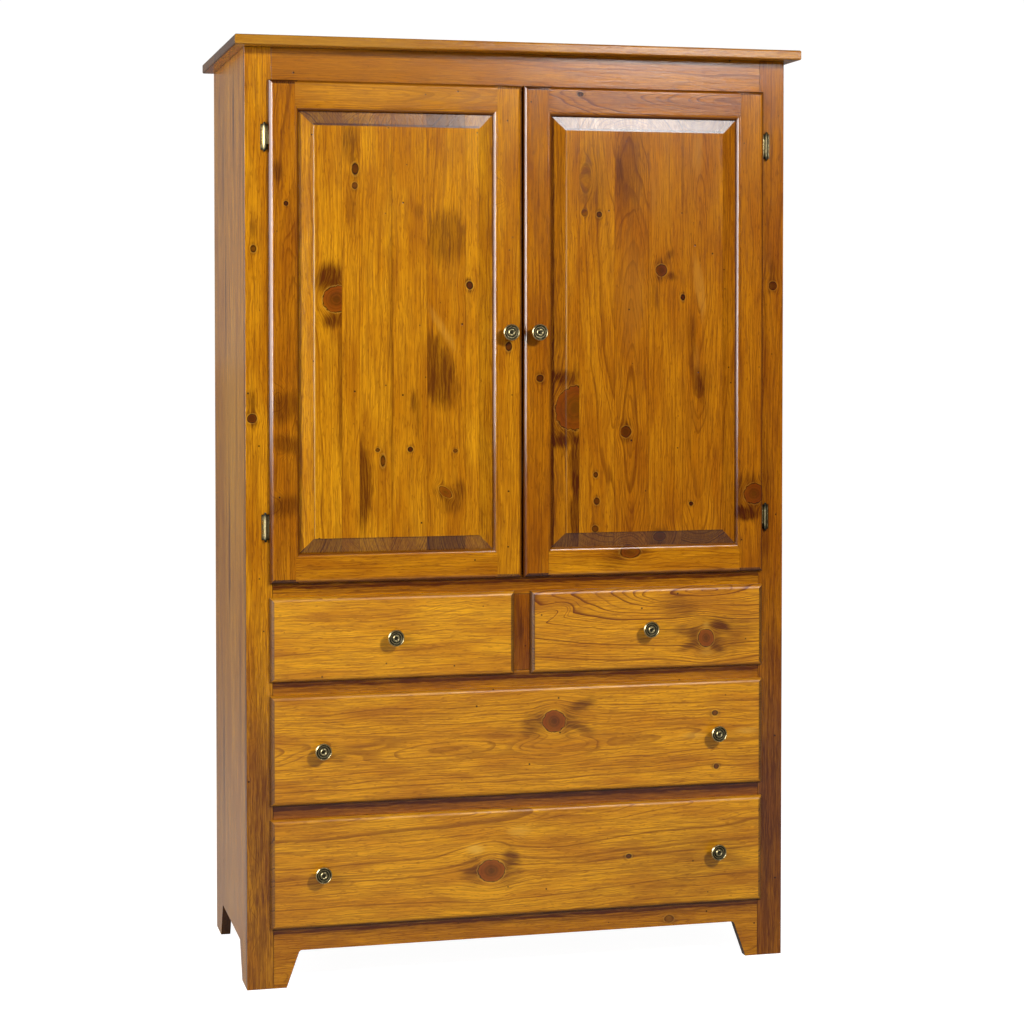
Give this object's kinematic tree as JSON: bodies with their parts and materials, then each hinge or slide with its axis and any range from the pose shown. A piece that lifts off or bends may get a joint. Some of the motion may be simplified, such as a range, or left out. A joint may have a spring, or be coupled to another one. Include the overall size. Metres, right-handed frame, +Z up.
{
  "type": "tv armoire",
  "caption": "Face-framed pine armoire with a pair of lipped raised-panel doors on barrel hinges over lipped drawers, a deck and shelf inside, on bracket feet.",
  "frame": {"origin": "on the floor, under the middle of the top board's outline", "axes": "+X to the right seen from the front, +Y to the back, +Z up; doors and drawers face -Y"},
  "size_m": [1.111, 0.533, 1.7913],
  "materials": {
    "pine": "honey-stained knotty pine, satin lacquer",
    "pine_front": "lighter honey-stained knotty pine, satin lacquer",
    "plain_pine": "unstained pine, sealed",
    "plywood": "thin plywood, sealed",
    "antique_brass": "antique brass with dark patina"
  },
  "bodies": {
    "cabinet": {"top_board": "pine", "left_face_stile": "pine", "right_face_stile": "pine", "top_rail": "pine", "door_rail": "pine", "upper_drawer_rail": "pine", "lower_drawer_rail": "pine", "base_rail": "pine", "drawer_divider": "pine", "left_side_panel": "pine", "right_side_panel": "pine", "tv_deck": "pine", "media_shelf": "pine", "left_front_shelf_pin": "antique_brass", "left_back_shelf_pin": "antique_brass", "right_front_shelf_pin": "antique_brass", "right_back_shelf_pin": "antique_brass", "back_panel": "plywood", "rear_base_rail": "plain_pine", "lower_web_frame": "plain_pine", "middle_web_frame": "plain_pine", "upper_web_frame": "plain_pine", "left_upper_hinge_frame_leaf": "antique_brass", "left_lower_hinge_frame_leaf": "antique_brass", "right_upper_hinge_frame_leaf": "antique_brass", "right_lower_hinge_frame_leaf": "antique_brass"},
    "left_door": {"left_door_hinge_stile": "pine", "left_door_meeting_stile": "pine", "left_door_top_rail": "pine", "left_door_bottom_rail": "pine", "left_door_panel": "pine", "left_door_knob": "antique_brass", "left_upper_hinge_door_leaf": "antique_brass", "left_lower_hinge_door_leaf": "antique_brass"},
    "right_door": {"right_door_hinge_stile": "pine", "right_door_meeting_stile": "pine", "right_door_top_rail": "pine", "right_door_bottom_rail": "pine", "right_door_panel": "pine", "right_door_knob": "antique_brass", "right_upper_hinge_door_leaf": "antique_brass", "right_lower_hinge_door_leaf": "antique_brass"},
    "left_small_drawer": {"left_small_drawer_front": "pine_front", "left_small_drawer_box": "plain_pine", "left_small_drawer_bottom": "plywood", "left_small_drawer_knob": "antique_brass"},
    "right_small_drawer": {"right_small_drawer_front": "pine_front", "right_small_drawer_box": "plain_pine", "right_small_drawer_bottom": "plywood", "right_small_drawer_knob": "antique_brass"},
    "middle_drawer": {"middle_drawer_front": "pine_front", "middle_drawer_box": "plain_pine", "middle_drawer_bottom": "plywood", "middle_drawer_left_knob": "antique_brass", "middle_drawer_right_knob": "antique_brass"},
    "bottom_drawer": {"bottom_drawer_front": "pine_front", "bottom_drawer_box": "plain_pine", "bottom_drawer_bottom": "plywood", "bottom_drawer_left_knob": "antique_brass", "bottom_drawer_right_knob": "antique_brass"}
  },
  "joints": [
    {"name": "left_door_hinge", "type": "hinge", "parent": "cabinet", "child": "left_door", "pos_m": [-0.4965, -0.2323, 1.2395], "axis": [0, 0, -1], "range_deg": [0, 160]},
    {"name": "right_door_hinge", "type": "hinge", "parent": "cabinet", "child": "right_door", "pos_m": [0.4965, -0.2323, 1.2395], "axis": [0, 0, 1], "range_deg": [0, 160]},
    {"name": "left_small_drawer_slide", "type": "slide", "parent": "cabinet", "child": "left_small_drawer", "axis": [0, -1, 0], "range_m": [0, 0.33]},
    {"name": "right_small_drawer_slide", "type": "slide", "parent": "cabinet", "child": "right_small_drawer", "axis": [0, -1, 0], "range_m": [0, 0.33]},
    {"name": "middle_drawer_slide", "type": "slide", "parent": "cabinet", "child": "middle_drawer", "axis": [0, -1, 0], "range_m": [0, 0.33]},
    {"name": "bottom_drawer_slide", "type": "slide", "parent": "cabinet", "child": "bottom_drawer", "axis": [0, -1, 0], "range_m": [0, 0.33]}
  ]
}
